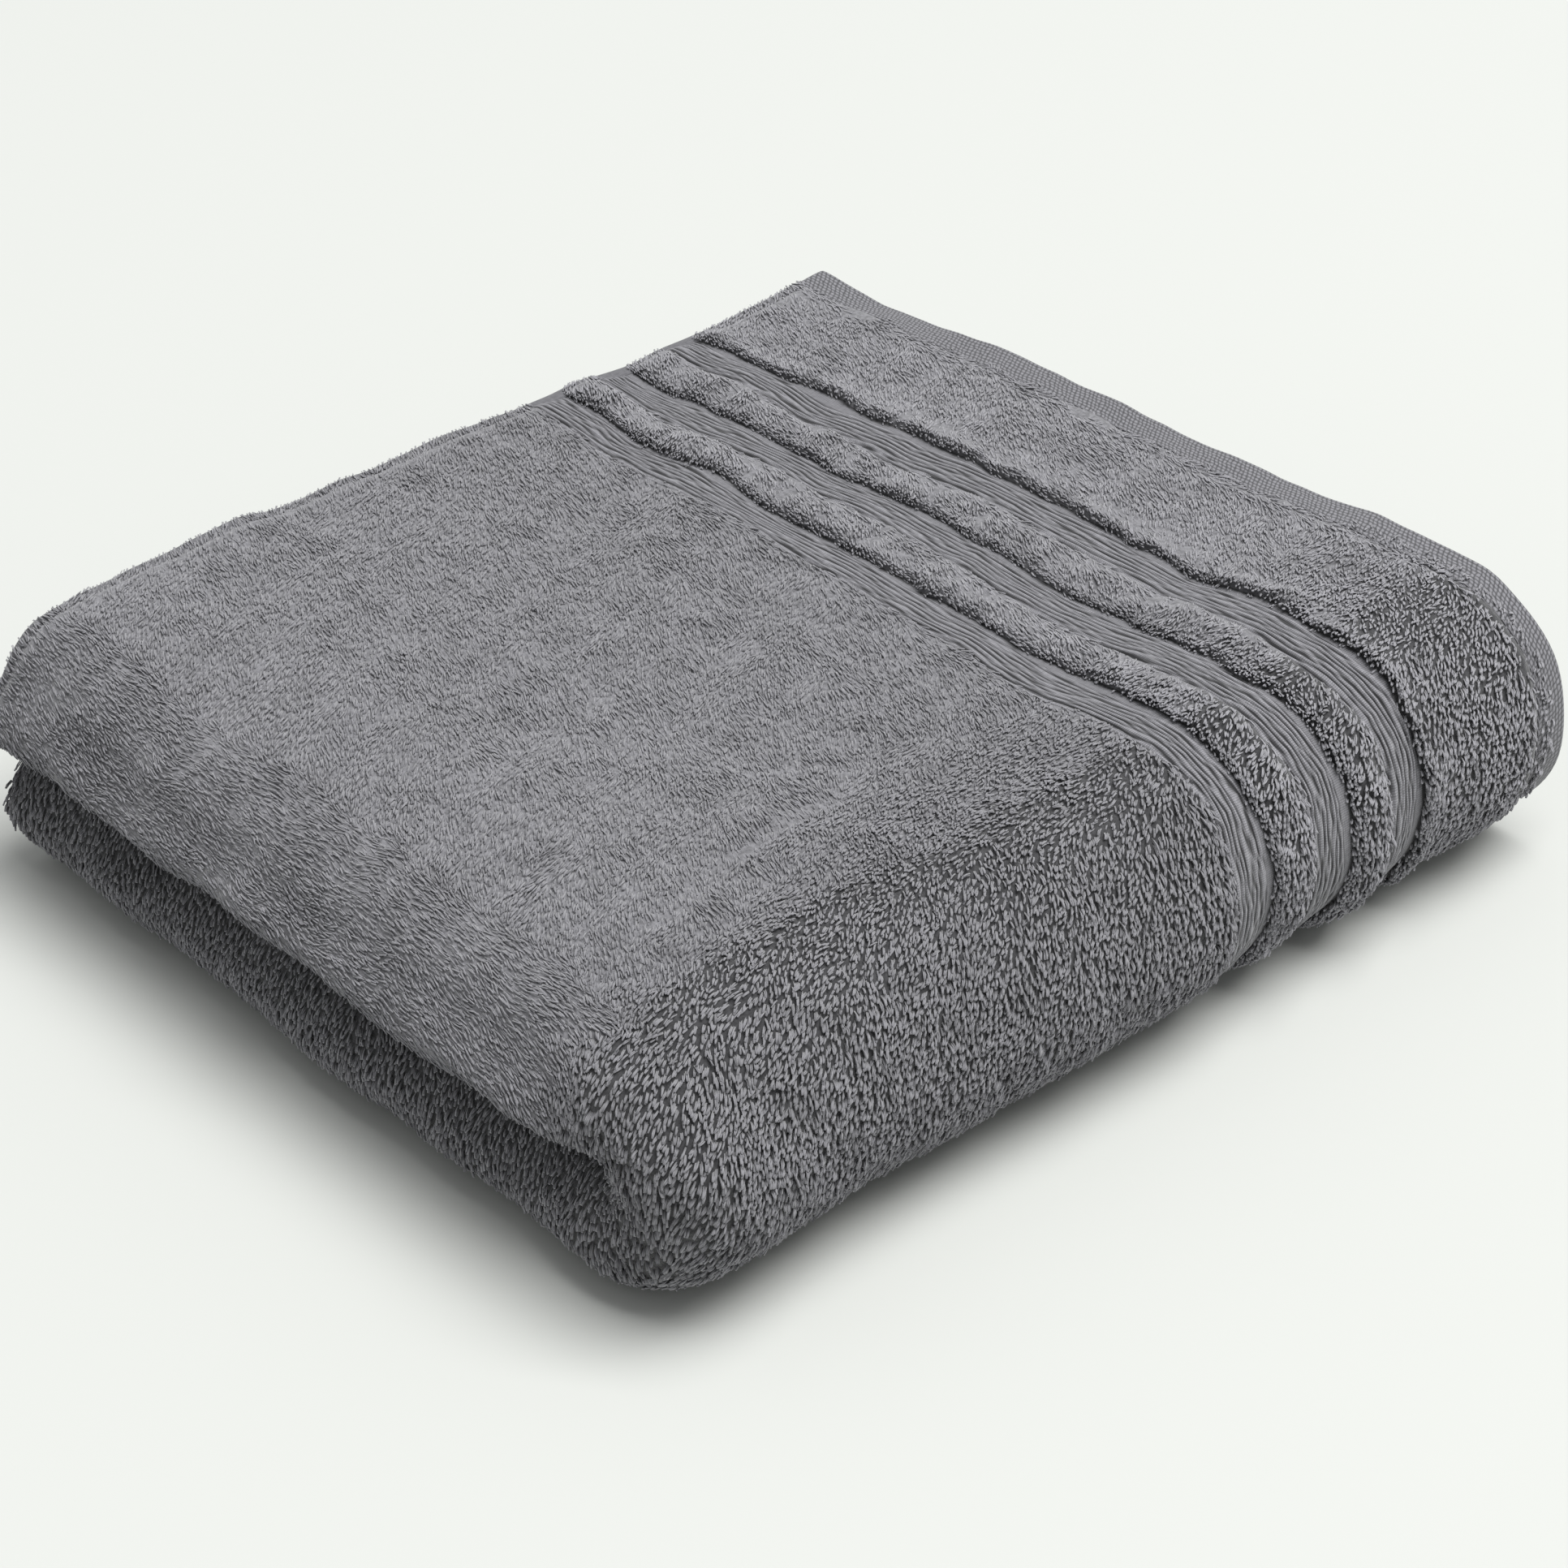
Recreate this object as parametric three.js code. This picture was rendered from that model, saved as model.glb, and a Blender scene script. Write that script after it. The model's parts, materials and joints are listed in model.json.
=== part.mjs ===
// Folded terry bath towel. Millimetres, +Z up, origin at the centre of the underside.
// The cloth is folded crosswise twice and then once down its middle like a book. +X is the end with
// the hems, -X the crosswise folds, -Y the rounded spine of the book fold, +Y the open side edges.
// Each half of the book is a stack of four plies. Heights in a half are measured from the middle
// plane of the whole stack outwards, so that ply 3 is the one seen from outside.
import * as THREE from "three";

const LENGTH = 355; // crosswise folds to the outer hem edge
const WIDTH = 333; // spine to the side edge of the innermost ply
const PLY = 10.8; // loft of one ply, pile included
const AIR = 0.25; // air between plies that touch
const JOIN = 0.3; // air between neighbouring zones of the same cloth
const CORE = 0.15; // air between the middle plane and the innermost ply
const PITCH = PLY + AIR;
const HALF = CORE + 4 * PLY + 3 * AIR; // height of one half of the book

const OUTER_END = LENGTH / 2; // edge of the hem on ply 3
const INNER_END = OUTER_END - 4; // edge of the hem on ply 2
const FOLD_TIP = OUTER_END - 7; // furthest reach of the fold that joins plies 0 and 1
const SPINE_Y = HALF - WIDTH / 2; // axis of the book fold
const CREEP = 12; // how far the innermost ply stands out past the outermost at the open side

const HEM = 15; // width of the end hem
const MARGIN = 47; // terry between the end hem and the first dobby band
const BAND = 16; // width of a dobby band
const RIB = 16; // width of the terry ribs between the bands
const SIDE_HEM = 6; // width of the side hems
const DOBBY_LOFT = 4.2;
const HEM_LOFT = 5;
const SIDE_LOFT = 6;
const BEVEL = 1.2; // rounding of the pile at the edge of a terry zone
const STITCH_IN = 12; // hem edge to its line of stitches
const STITCH_WIDTH = 1;
const STITCH_HEIGHT = 0.6;

const SPINE_STEPS = 14;
const FOLD_STEPS = 10;

const MATERIALS = {
  terry: { color: 0x86868b, roughness: 1, metalness: 0 },
  dobby: { color: 0x7d7d83, roughness: 0.9, metalness: 0 },
  hem: { color: 0x76767c, roughness: 0.95, metalness: 0 },
  side: { color: 0x7e7e84, roughness: 0.95, metalness: 0 },
  thread: { color: 0x6e6e74, roughness: 0.7, metalness: 0 },
};

const plyHeight = (ply) => CORE + PLY / 2 + ply * PITCH;
const sideEdge = (h) => WIDTH / 2 - (CREEP * h) / HALF;

// Outline of one zone lying flat in a ply: a bevelled rectangle from x0 to x1.
function slab(x0, x1, height, loft, bevel) {
  const low = height - loft / 2;
  const high = height + loft / 2;
  return [
    [x0 + bevel, low],
    [x1 - bevel, low],
    [x1, low + bevel],
    [x1, high - bevel],
    [x1 - bevel, high],
    [x0 + bevel, high],
    [x0, high - bevel],
    [x0, low + bevel],
  ];
}

// Points of a fold with the cloth's left-hand normal at each; side is 1 where it turns left.
function turn(cx, ch, radius, from, to, side) {
  const points = [];
  for (let i = 0; i <= FOLD_STEPS; i++) {
    const t = THREE.MathUtils.degToRad(from + ((to - from) * i) / FOLD_STEPS);
    const [c, s] = [Math.cos(t), Math.sin(t)];
    points.push({ x: cx + radius * c, h: ch + radius * s, nx: -side * c, nh: -side * s });
  }
  return points;
}

// Outline of the cloth that runs from x = a on ply 3 through every fold to x = b on ply 2.
function folded(a, b, loft) {
  const middle = (plyHeight(0) + plyHeight(3)) / 2;
  const wide = (plyHeight(3) - plyHeight(0)) / 2;
  const tight = PITCH / 2;
  const foldX = wide + PLY / 2 - LENGTH / 2;
  const path = [
    { x: a, h: plyHeight(3), nx: 0, nh: -1 },
    ...turn(foldX, middle, wide, 90, 270, 1),
    ...turn(FOLD_TIP - tight - PLY / 2, plyHeight(0) + tight, tight, -90, 90, 1),
    ...turn(foldX, middle, tight, 270, 90, -1),
    { x: b, h: plyHeight(2), nx: 0, nh: 1 },
  ];
  const offset = (d) => path.map((p) => [p.x + d * p.nx, p.h + d * p.nh]);
  return [...offset(loft / 2), ...offset(-loft / 2).reverse()];
}

// A solid swept from a closed outline; each station places a point (x, h) of it in the row frame.
function sweep(outline, stations) {
  const contour = outline.map(([x, h]) => new THREE.Vector2(x, h));
  if (THREE.ShapeUtils.isClockWise(contour)) contour.reverse();
  const count = contour.length;
  const index = [];
  for (let s = 0; s + 1 < stations.length; s++) {
    for (let i = 0; i < count; i++) {
      const a = s * count + i;
      const b = s * count + ((i + 1) % count);
      index.push(a, b + count, b, a, a + count, b + count);
    }
  }
  const last = (stations.length - 1) * count;
  for (const [a, b, c] of THREE.ShapeUtils.triangulateShape(contour, [])) {
    index.push(a, b, c, last + a, last + c, last + b);
  }
  const position = stations.flatMap((place) => contour.flatMap((p) => place(p.x, p.y)));
  const indexed = new THREE.BufferGeometry();
  indexed.setAttribute("position", new THREE.Float32BufferAttribute(position, 3));
  indexed.setIndex(index);
  const geometry = indexed.toNonIndexed();
  geometry.computeVertexNormals();
  return geometry;
}

// The two halves of the book, from the spine out to yEnd(h), and the half turn that joins them.
const lowerHalf = (yEnd) => [
  (x, h) => [x, yEnd(h), HALF - h],
  (x, h) => [x, SPINE_Y + JOIN, HALF - h],
];
const upperHalf = (yEnd) => [
  (x, h) => [x, SPINE_Y + JOIN, HALF + h],
  (x, h) => [x, yEnd(h), HALF + h],
];
const spine = Array.from({ length: SPINE_STEPS + 1 }, (_, i) => {
  const angle = (Math.PI * i) / SPINE_STEPS;
  return (x, h) => [x, SPINE_Y - h * Math.sin(angle), HALF - h * Math.cos(angle)];
});

const towel = new THREE.Group();
towel.name = "bath_towel";

function add(name, outline, stations, weave) {
  const mesh = new THREE.Mesh(sweep(outline, stations), new THREE.MeshStandardMaterial(MATERIALS[weave]));
  mesh.name = name;
  towel.add(mesh);
}

// One zone of the cloth in the lower half, round the spine and in the upper half.
function addZone(name, outline, yEnd, weave) {
  add(`${name}_lower`, outline, lowerHalf(yEnd), weave);
  add(`${name}_spine`, outline, spine, weave);
  add(`${name}_upper`, outline, upperHalf(yEnd), weave);
}

const insideSideHem = (h) => sideEdge(h) - SIDE_HEM - JOIN;

// The border at one end of the cloth: hem, terry margin, then three dobby bands parted by terry ribs.
function addBorder(end, edge, ply) {
  const height = plyHeight(ply);
  addZone(`${end}_hem`, slab(edge - HEM, edge, height, HEM_LOFT, BEVEL), sideEdge, "hem");
  const stitchX = edge - STITCH_IN;
  const stitchH = height + (HEM_LOFT + STITCH_HEIGHT) / 2 + JOIN / 2;
  const stitch = slab(stitchX - STITCH_WIDTH, stitchX, stitchH, STITCH_HEIGHT, STITCH_HEIGHT / 4);
  addZone(`${end}_hem_stitch`, stitch, insideSideHem, "thread");
  let x = edge - HEM;
  const next = (name, width, loft, weave) => {
    addZone(name, slab(x - width, x - JOIN, height, loft, BEVEL), insideSideHem, weave);
    x -= width;
  };
  next(`${end}_terry_margin`, MARGIN, PLY, "terry");
  for (let n = 1; n <= 3; n++) {
    next(`${end}_band_${n}`, BAND, DOBBY_LOFT, "dobby");
    if (n < 3) next(`${end}_terry_rib_${n}`, RIB, PLY, "terry");
  }
  return x - JOIN;
}

const outerField = addBorder("outer", OUTER_END, 3);
const innerField = addBorder("inner", INNER_END, 2);
addZone("terry_field", folded(outerField, innerField, PLY), insideSideHem, "terry");

// The side hems follow the cloth through all four plies, between the two end hems.
const sideHem = folded(OUTER_END - HEM - JOIN, INNER_END - HEM - JOIN, SIDE_LOFT);
const sideHemStart = (h) => sideEdge(h) - SIDE_HEM;
for (const [half, direction] of [["lower", -1], ["upper", 1]]) {
  const place = (y) => (x, h) => [x, y(h), HALF + direction * h];
  const stations = [place(sideHemStart), place(sideEdge)];
  if (direction < 0) stations.reverse();
  add(`side_hem_${half}`, sideHem, stations, "side");
}

export default towel;
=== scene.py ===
"""The looks of a folded grey terry bath towel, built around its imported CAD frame. Metres, +Z up.

The towel is one long cloth, folded crosswise twice and then down its middle like a book. A place on the
cloth is given by s, the length along it from the hem on the outermost ply to the hem on the ply under it,
by across, which goes from the open edge of the lower half (-1) to the spine (0), round the spine (1) and
out to the open edge of the upper half (2), and by lift, the distance off the middle of the cloth.
fold() turns such places into points of the row frame and settle() gives them a hand-folded towel's slack.
"""

import json
import math

import bpy
import numpy as np
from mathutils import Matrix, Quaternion, Vector

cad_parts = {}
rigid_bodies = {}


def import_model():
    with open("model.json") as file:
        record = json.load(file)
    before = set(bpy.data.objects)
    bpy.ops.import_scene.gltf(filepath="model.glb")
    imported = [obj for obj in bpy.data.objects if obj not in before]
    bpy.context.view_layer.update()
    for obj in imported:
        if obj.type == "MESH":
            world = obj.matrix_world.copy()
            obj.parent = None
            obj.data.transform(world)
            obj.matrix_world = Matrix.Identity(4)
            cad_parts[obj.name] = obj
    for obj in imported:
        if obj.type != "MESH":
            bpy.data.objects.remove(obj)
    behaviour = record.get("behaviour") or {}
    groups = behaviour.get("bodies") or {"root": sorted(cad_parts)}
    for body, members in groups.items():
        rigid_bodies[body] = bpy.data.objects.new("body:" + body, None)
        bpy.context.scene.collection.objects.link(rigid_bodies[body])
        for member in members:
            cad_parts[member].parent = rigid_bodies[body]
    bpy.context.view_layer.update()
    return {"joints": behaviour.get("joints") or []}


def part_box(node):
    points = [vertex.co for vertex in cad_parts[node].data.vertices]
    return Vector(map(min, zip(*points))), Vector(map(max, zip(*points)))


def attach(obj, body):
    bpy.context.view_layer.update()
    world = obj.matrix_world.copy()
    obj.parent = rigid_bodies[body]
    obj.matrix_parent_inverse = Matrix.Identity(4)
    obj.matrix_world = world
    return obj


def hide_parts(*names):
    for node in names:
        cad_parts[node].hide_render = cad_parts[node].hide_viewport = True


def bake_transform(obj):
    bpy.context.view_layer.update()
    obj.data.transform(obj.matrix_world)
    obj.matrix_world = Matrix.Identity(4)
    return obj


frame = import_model()

MM = 0.001

# ---- what the CAD frame says
joint = frame["joints"][0]
LOWER, UPPER = joint["parent"], joint["child"]
AXIS_Y, AXIS_Z = joint["pos_m"][1:]
ENDS = ("outer", "inner")
ZONES = ("hem", "terry_margin", "band_1", "terry_rib_1", "band_2", "terry_rib_2", "band_3")
PARTS = ("lower", "spine", "upper")


def parts_of(zone):
    """The names of the CAD nodes that one zone of the cloth is split into."""
    return [f"{zone}_{part}" for part in PARTS]


def height_of(node):
    """Height of a node's middle over the middle plane of the folded towel."""
    low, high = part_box(node)
    return abs(AXIS_Z - (low.z + high.z) / 2)


margin_low, margin_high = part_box("outer_terry_margin_lower")
PLY = margin_high.z - margin_low.z
PLY_3 = height_of("outer_terry_margin_lower")
PLY_2 = height_of("inner_terry_margin_lower")
PITCH = PLY_3 - PLY_2
PLY_0 = PLY_3 - 3 * PITCH
END = {end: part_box(f"{end}_hem_lower")[1].x for end in ENDS}
FOLD_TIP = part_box("terry_field_lower")[1].x
FOLD_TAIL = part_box("terry_field_lower")[0].x
EDGE_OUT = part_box("side_hem_lower")[1].y  # the open side edge at the middle plane
EDGE_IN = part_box("outer_hem_upper")[1].y  # and on ply 3
SIDE_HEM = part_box("outer_hem_upper")[1].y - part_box("outer_terry_margin_upper")[1].y


def side_edge(h):
    """Where the open side edge of the cloth is, at height h over the middle plane."""
    return EDGE_OUT - (EDGE_OUT - EDGE_IN) * np.clip(h / PLY_3, 0, 1.2)


# ---- the cloth's path through its folds
WIDE = (PLY_3 - PLY_0) / 2
TIGHT = PITCH / 2
FOLD_X = FOLD_TAIL + PLY / 2 + WIDE  # where the folds at the tail end begin
TIP_X = FOLD_TIP - PLY / 2 - TIGHT  # where the fold at the hem end begins
SQUARE = 2.3  # 2 is a round fold, more is a fuller one
STEP = 0.5 * MM


def run(x_from, x_to, h, side):
    """Points x, h and face direction of a straight run; side is 1 where the cloth's first face looks up."""
    count = max(3, int(abs(x_to - x_from) / STEP))
    x = np.linspace(x_from, x_to, count, endpoint=False)
    return np.stack([x, 0 * x + h, 0 * x, 0 * x + side], axis=1)


def fuller(v, power):
    """A sine or cosine to this power, which makes a ring fuller than a round one if it is less than 1."""
    return np.sign(v) * np.abs(v) ** power


def turn(x, h, radius, start, stop, side, square=2.0):
    """Points of a fold about x, h that turns from the angle start to stop, in degrees."""
    count = int(math.pi * radius / STEP) + 20
    t = np.radians(np.linspace(start, stop, count, endpoint=False))
    c, s = np.cos(t), np.sin(t)
    bulge = [fuller(v, 2 / square) for v in (c, s)]
    face = [fuller(v, 2 - 2 / square) for v in (c, s)]
    size = np.hypot(*face)
    place = (x + radius * bulge[0], h + radius * bulge[1])
    return np.stack([*place, side * face[0] / size, side * face[1] / size], axis=1)


path = np.concatenate([
    run(END["outer"], FOLD_X, PLY_3, 1),
    turn(FOLD_X, (PLY_0 + PLY_3) / 2, WIDE, 90, 270, 1, SQUARE),
    run(FOLD_X, TIP_X, PLY_0, -1),
    turn(TIP_X, PLY_0 + TIGHT, TIGHT, -90, 90, 1),
    run(TIP_X, FOLD_X, PLY_0 + PITCH, 1),
    turn(FOLD_X, (PLY_0 + PLY_3) / 2, TIGHT, 270, 90, -1),
    run(FOLD_X, END["inner"], PLY_2, -1),
    [[END["inner"], PLY_2, 0, -1]],
])
path_s = np.concatenate([[0], np.cumsum(np.hypot(*np.diff(path[:, :2], axis=0).T))])
LENGTH = path_s[-1]


def length_at(x, h):
    """The cloth length s of the path's point nearest to x, h."""
    return path_s[np.argmin(np.hypot(path[:, 0] - x, path[:, 1] - h))]


WIDE_START, WIDE_END = length_at(FOLD_X, PLY_3), length_at(FOLD_X, PLY_0)
TIP_START, TIP_END = length_at(TIP_X, PLY_0), length_at(TIP_X, PLY_0 + PITCH)
TIGHT_START, TIGHT_END = length_at(FOLD_X, PLY_0 + PITCH), length_at(FOLD_X, PLY_2)


def on_path(s):
    """x, h and the two parts of the face direction at cloth length s."""
    return [np.interp(s, path_s, path[:, k]) for k in range(4)]


def span(h):
    """Width of the cloth from the spine to the open side edge, at height h."""
    return side_edge(h) - AXIS_Y


def past_spine(across):
    """The share of a half's width that a place lies away from the spine."""
    return np.where(across < 0, -across, np.where(across > 1, across - 1, 0))


def round_spine_angle(across):
    """How far round the spine a place lies, in radians: 0 in the lower half and pi in the upper one."""
    return np.clip(across, 0, 1) * math.pi


def fold(s, across, lift=0.0):
    """Points of the row frame, at rest and before settle()."""
    x, h, face_x, face_h = on_path(s)
    out = past_spine(across) * span(h)
    angle = round_spine_angle(across)
    h = h + lift * face_h
    y = AXIS_Y + out - h * np.sin(angle)
    z = AXIS_Z - h * np.cos(angle)
    return np.stack([x + lift * face_x, y, z], axis=-1)


def facing(s, across):
    """The direction that the cloth's first face looks in."""
    _, _, face_x, face_h = on_path(s)
    angle = round_spine_angle(across)
    return np.stack([face_x, -face_h * np.sin(angle), -face_h * np.cos(angle)], axis=-1)


def along(s, across):
    """The direction in which s grows."""
    _, _, face_x, face_h = on_path(s)
    angle = round_spine_angle(across)
    return np.stack([-face_h, -face_x * np.sin(angle), -face_x * np.cos(angle)], axis=-1)


def width_at(across, h):
    """Distance over the cloth's width from the lower half's open edge, for a place across at height h."""
    straight = span(h)
    arc = math.pi * h
    after = np.where(across > 1, straight + arc + (across - 1) * straight, straight + across * arc)
    return np.where(across < 0, (across + 1) * straight, after)


def across_at(width, h):
    """The place across for such a distance."""
    straight = span(h)
    arc = math.pi * h
    past = np.maximum(width - straight - arc, 0)
    after = np.where(past > 0, 1 + past / straight, (width - straight) / arc)
    return np.where(width < straight, width / straight - 1, after)


# ---- slack
def waves(seed, shortest, longest, count=16):
    """A smooth random field of about -1 to 1, made of waves with lengths between shortest and longest."""
    rng = np.random.default_rng(seed)
    way = rng.normal(size=(count, 3))
    way /= np.linalg.norm(way, axis=1)[:, None]
    length = np.exp(rng.uniform(math.log(shortest), math.log(longest), count))
    phase = rng.uniform(0, 2 * math.pi, count)
    size = (length / longest) ** 0.7
    size /= math.sqrt((size**2).sum())

    def field(p):
        parts = zip(size, way, length, phase)
        return sum(a * np.sin(p @ w * (2 * math.pi / l) + f) for a, w, l, f in parts)

    return field


def smooth(start, stop, v):
    """0 before start and 1 after stop, with a soft slope between them. start may be the greater one."""
    t = np.clip((v - start) / (stop - start), 0, 1)
    return t * t * (3 - 2 * t)


sway = [waves(seed, 0.035, 0.15) for seed in (11, 12, 13)]
ripple = waves(14, 0.014, 0.045)
wander = waves(15, 0.018, 0.06)
SWAY = (1.3 * MM, 1.2 * MM, 1.1 * MM)  # slow waves of the whole stack, in x, y and z
WANDER, RIPPLE = 0.6 * MM, 0.5 * MM  # quicker ones of its ends and of its height
SKEW = 0.055  # how far the ends lie out of square with the spine
PUFF = 0.05  # how much thicker the towel is at its crosswise folds
DROP = 11 * MM  # how far the top slopes down to them
LIP = 12 * MM  # how far the upper half's folds hang out over the lower half's
TUCK = 5 * MM  # and how far those are drawn in under them
SAG = 2.5 * MM  # how far the gap between the halves comes down there
CROWN = 4 * MM  # how much the hem end is plumped up
BACK_RISE = 2.0 * MM  # how much higher the open side stands, away from the hem end
CREASE, CREASE_WIDTH, CREASE_LENGTH = 1.6 * MM, 6 * MM, 0.045  # the dent on top that runs beside the spine
CREASE_X, CREASE_Y, CREASE_SLOPE = -0.075, AXIS_Y + 0.034, 0.22
TURN_OUT, TURN_RISE, TURN_REACH = 3.0 * MM, 2.5 * MM, 45 * MM  # how full the spine is at the hem end
TIP_OUT, TIP_RISE, TIP_REACH = 2.5 * MM, 3.5 * MM, 18 * MM  # the loose corner of the top ply


def settle(p):
    """The slack, lean and sag that a hand-folded towel has, as a gentle bending of space."""
    x, y, z = p[..., 0], p[..., 1], p[..., 2]
    up = (z - AXIS_Z) / AXIS_Z  # -1 on the floor, 0 at the middle plane, 1 on top
    high = smooth(0, 1, up)
    free = smooth(AXIS_Y - 0.02, AXIS_Y + 0.03, y)
    tail = smooth(-0.125, FOLD_TAIL, x) * free
    end = smooth(0.06, END["outer"], x)
    open_side = smooth(0.08, 0.16, y)
    q = p.copy()

    # the whole stack: thicker at the tail, a little wavy, and out of square at the hem end
    q[..., 2] *= 1 + PUFF * smooth(0.06, -0.16, x)
    q[..., 0] += SWAY[0] * sway[0](p) + WANDER * wander(p)
    q[..., 0] -= SKEW * y * smooth(-0.01, 0.11, x)

    # the crosswise folds at the tail: those of the upper half hang over those of the lower half
    q[..., 0] -= LIP * tail * smooth(0, 0.09, up) * (1 - smooth(0.1, 0.7, up))
    q[..., 0] += TUCK * tail * smooth(-0.6, -0.12, up) * (1 - smooth(-0.06, 0, up))
    q[..., 1] += SWAY[1] * sway[1](p)
    q[..., 2] += (SWAY[2] * sway[2](p) + RIPPLE * ripple(p)) * smooth(-1, 0.6, up)
    q[..., 2] -= SAG * tail * (1 - smooth(0, 0.8, np.abs(up)))

    # the top: down to the tail, up towards the hem end and the open side, and dented beside the spine
    q[..., 2] -= DROP * smooth(-0.10, FOLD_TAIL, x) ** 1.5 * high * (1 - 0.6 * open_side)
    crown = CROWN * end * high * smooth(AXIS_Y - 0.02, AXIS_Y + 0.05, y)
    q[..., 2] += crown * (1 - smooth(0.09, 0.16, y))
    q[..., 2] += BACK_RISE * high * open_side * (1 - end)
    dent = y - CREASE_Y - CREASE_SLOPE * (x - CREASE_X)
    along_dent = (x - CREASE_X) / CREASE_LENGTH
    q[..., 2] -= CREASE * high * np.exp(-((dent / CREASE_WIDTH) ** 2) - along_dent**2)

    # the hem end: fuller at the spine, and loose at the corner
    turn_end = np.exp(-((y - AXIS_Y) ** 2) / TURN_REACH**2) * end * smooth(-0.2, 0.7, up)
    q[..., 0] += TURN_OUT * turn_end
    q[..., 2] += TURN_RISE * turn_end * high
    tip = np.exp(-((x - END["outer"]) ** 2 + (y - EDGE_IN) ** 2) / TIP_REACH**2) * smooth(0.5, 0.9, up)
    q[..., 2] += TIP_RISE * tip
    q[..., 1] += TIP_OUT * tip
    return q


def weights(p):
    """How far each rest point follows the upper half: its angle round the book fold, over half a turn."""
    y, z = p[..., 1] - AXIS_Y, p[..., 2] - AXIS_Z
    angle = np.arctan2(np.maximum(-y, 0), -z)
    return np.where(y >= 0, (z > 0).astype(float), angle / math.pi)


# ---- meshes
def added(name, data):
    """A new object in the scene."""
    obj = bpy.data.objects.new(name, data)
    bpy.context.scene.collection.objects.link(obj)
    return obj


def make_mesh(name, points, faces, material):
    """A smooth mesh object of points and of faces that all have the same number of corners."""
    mesh = bpy.data.meshes.new(name)
    corners = faces.shape[1]
    mesh.vertices.add(len(points))
    mesh.vertices.foreach_set("co", points.astype(np.float32).ravel())
    mesh.loops.add(faces.size)
    mesh.loops.foreach_set("vertex_index", faces.astype(np.int32).ravel())
    mesh.polygons.add(len(faces))
    starts = np.arange(0, faces.size, corners, dtype=np.int32)
    mesh.polygons.foreach_set("loop_start", starts)
    mesh.update(calc_edges=True)
    mesh.shade_smooth()
    mesh.materials.append(material)
    return added(name, mesh)


def store(obj, name, values):
    """Keeps one number a point on the mesh, for its material."""
    attribute = obj.data.attributes.new(name, "FLOAT", "POINT")
    attribute.data.foreach_set("value", values.astype(np.float32).ravel())


def store_place(obj, s, width):
    """Keeps each point's place on the flat cloth, for the weave of its material."""
    place = np.stack([width, s, 0 * s], axis=1).astype(np.float32)
    attribute = obj.data.attributes.new("place", "FLOAT_VECTOR", "POINT")
    attribute.data.foreach_set("vector", place.ravel())


def hold(obj, weight, nodes=()):
    """obj moves with the half that it lies on; if it goes round the spine it stays where it is."""
    if weight.max() <= 0:
        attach(obj, LOWER)
    elif weight.min() >= 1:
        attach(obj, UPPER)
    else:
        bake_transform(obj)
    if nodes:
        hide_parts(*nodes)
    return obj


# ---- materials
GREY = np.array([0.271, 0.268, 0.287])


def level(value):
    """A neutral colour this light."""
    return (value,) * 3


def new_material(name, sheen):
    """A dull cotton surface with the soft glow of its fuzz at grazing angles."""
    mat = bpy.data.materials.new(name)
    mat.use_nodes = True
    shader = mat.node_tree.nodes["Principled BSDF"]
    shader.inputs["Roughness"].default_value = 0.95
    shader.inputs["Sheen Weight"].default_value = sheen
    shader.inputs["Sheen Roughness"].default_value = 0.6
    shader.inputs["Specular IOR Level"].default_value = 0.15
    return mat, mat.node_tree, shader


def node(tree, kind, **settings):
    """A new node, with settings that are either values of its sockets or its own properties."""
    made = tree.nodes.new(kind)
    for key, value in settings.items():
        if key in made.inputs:
            made.inputs[key].default_value = value
        else:
            setattr(made, key, value)
    return made


def ramp(tree, factor, stops):
    """A colour ramp over factor, through (position, colour) stops."""
    made = tree.nodes.new("ShaderNodeValToRGB")
    elements = made.color_ramp.elements
    while len(elements) < len(stops):
        elements.new(0.5)
    for element, (position, colour) in zip(elements, stops):
        element.position = position
        element.color = (*colour, 1)
    tree.links.new(factor, made.inputs["Fac"])
    return made.outputs["Color"]


def math_node(tree, operation, a, b=None):
    """The result of one operation on sockets or numbers."""
    made = tree.nodes.new("ShaderNodeMath")
    made.operation = operation
    for socket, value in zip(made.inputs, (a, b)):
        if isinstance(value, bpy.types.NodeSocket):
            tree.links.new(value, socket)
        elif value is not None:
            socket.default_value = value
    return made.outputs[0]


def multiplied(tree, a, b):
    """The product of two colours."""
    made = tree.nodes.new("ShaderNodeMix")
    made.data_type = "RGBA"
    made.blend_type = "MULTIPLY"
    made.inputs["Factor"].default_value = 1.0
    tree.links.new(a, made.inputs[6])
    tree.links.new(b, made.inputs[7])
    return made.outputs[2]


def noise(tree, where, scale, detail):
    """A noise texture over where."""
    made = node(tree, "ShaderNodeTexNoise", Scale=scale, Detail=detail)
    tree.links.new(where, made.inputs["Vector"])
    return made.outputs["Fac"]


def emboss(tree, shader, height, strength, distance):
    """Lets the surface look raised by height."""
    bump = node(tree, "ShaderNodeBump", Strength=strength, Distance=distance)
    tree.links.new(height, bump.inputs["Height"])
    tree.links.new(bump.outputs["Normal"], shader.inputs["Normal"])


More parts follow.
